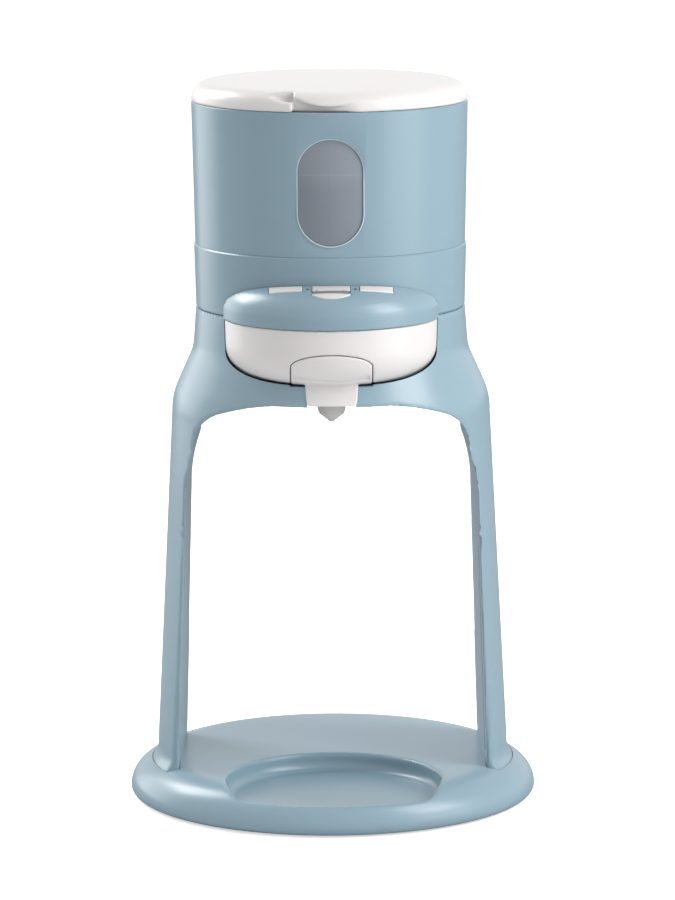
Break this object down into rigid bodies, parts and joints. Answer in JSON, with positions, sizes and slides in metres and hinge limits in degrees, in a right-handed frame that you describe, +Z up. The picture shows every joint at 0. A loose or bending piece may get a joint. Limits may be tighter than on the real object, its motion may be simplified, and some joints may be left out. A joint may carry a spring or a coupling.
{
  "type": "baby formula maker",
  "caption": "Baby bottle water maker: round base with a bottle recess, arched two-leg stand, head with a button nose and a pull-out spout, lift-off water tank and lid",
  "frame": {"origin": "centre of the round base on the surface it stands on", "axes": "+Z up, -Y is the front with the spout and the buttons, +X is to the right seen from the front"},
  "size_m": [0.215, 0.215, 0.3808],
  "materials": {
    "blue_shell": "satin blue-grey moulded plastic, fine and even, soft sheen",
    "white_shell": "warm white moulded plastic, soft gloss",
    "grey_silicone": "translucent light grey silicone, matt",
    "black_rubber": "matt black rubber",
    "pale_silicone": "milky food-grade silicone",
    "steel": "bright zinc-plated steel",
    "dark_plastic": "dark grey moulded plastic, fine texture",
    "board_green": "green circuit board",
    "heater_metal": "cast aluminium, slightly rough",
    "clear_plastic": "clear food-grade plastic",
    "window_grey": "smoked translucent plastic, glossy front",
    "light_dark": "dark lens of an indicator light"
  },
  "bodies": {
    "root": {"base_shell": "blue_shell", "base_bottom_cover": "dark_plastic", "base_cover_screws": "steel", "rubber_feet": "black_rubber", "leg_screws": "steel", "stand_shell": "blue_shell", "leg_cover_left": "blue_shell", "leg_cover_right": "blue_shell", "nose_cover": "white_shell", "control_hood": "blue_shell", "indicator_lights": "light_dark", "control_board": "board_green", "button_switches": "dark_plastic", "head_housing": "blue_shell", "head_deck": "blue_shell", "head_chassis": "dark_plastic", "chassis_screws": "steel", "tank_socket": "dark_plastic", "socket_seal": "pale_silicone", "cord_gland": "black_rubber", "pump": "dark_plastic", "pump_damper": "pale_silicone", "heater": "heater_metal", "thermostat": "dark_plastic", "temperature_sensor": "heater_metal", "power_board": "board_green", "power_components": "dark_plastic", "inlet_hose": "pale_silicone", "pump_hose": "pale_silicone", "outlet_hose": "pale_silicone", "outlet_nozzle": "dark_plastic"},
    "tank": {"tank_sleeve": "blue_shell", "window_pane": "window_grey", "tank_vessel": "clear_plastic", "valve_gasket": "pale_silicone", "valve_cage": "clear_plastic", "valve_spring": "steel"},
    "valve": {"valve_poppet": "clear_plastic"},
    "lid_body": {"lid": "white_shell", "lid_seal": "pale_silicone"},
    "spout": {"spout_cap": "white_shell", "spout_tip": "grey_silicone"},
    "less_button": {"button_less": "white_shell"},
    "more_button": {"button_more": "white_shell"},
    "start_button": {"button_start": "white_shell"},
    "warm_button": {"button_warm": "white_shell"}
  },
  "joints": [
    {"name": "tank_lift", "type": "slide", "parent": "root", "child": "tank", "axis": [0, 0, 1], "range_m": [0, 0.12]},
    {"name": "lid_lift", "type": "slide", "parent": "tank", "child": "lid_body", "axis": [0, 0, 1], "range_m": [0, 0.05]},
    {"name": "valve_open", "type": "slide", "parent": "tank", "child": "valve", "axis": [0, 0, 1], "range_m": [0, 0.003], "stiffness_N_per_m": 150, "deforming": ["valve_spring"]},
    {"name": "spout_pull", "type": "slide", "parent": "root", "child": "spout", "axis": [0, -1, 0], "range_m": [0, 0.06]},
    {"name": "press_less", "type": "slide", "parent": "root", "child": "less_button", "axis": [0, 0, -1], "range_m": [0, 0.0009], "stiffness_N_per_m": 1500},
    {"name": "press_start", "type": "slide", "parent": "root", "child": "start_button", "axis": [0, 0, -1], "range_m": [0, 0.0009], "stiffness_N_per_m": 1500},
    {"name": "press_warm", "type": "slide", "parent": "root", "child": "warm_button", "axis": [0, 0, -1], "range_m": [0, 0.0009], "stiffness_N_per_m": 1500},
    {"name": "press_more", "type": "slide", "parent": "root", "child": "more_button", "axis": [0, 0, -1], "range_m": [0, 0.0009], "stiffness_N_per_m": 1500}
  ]
}
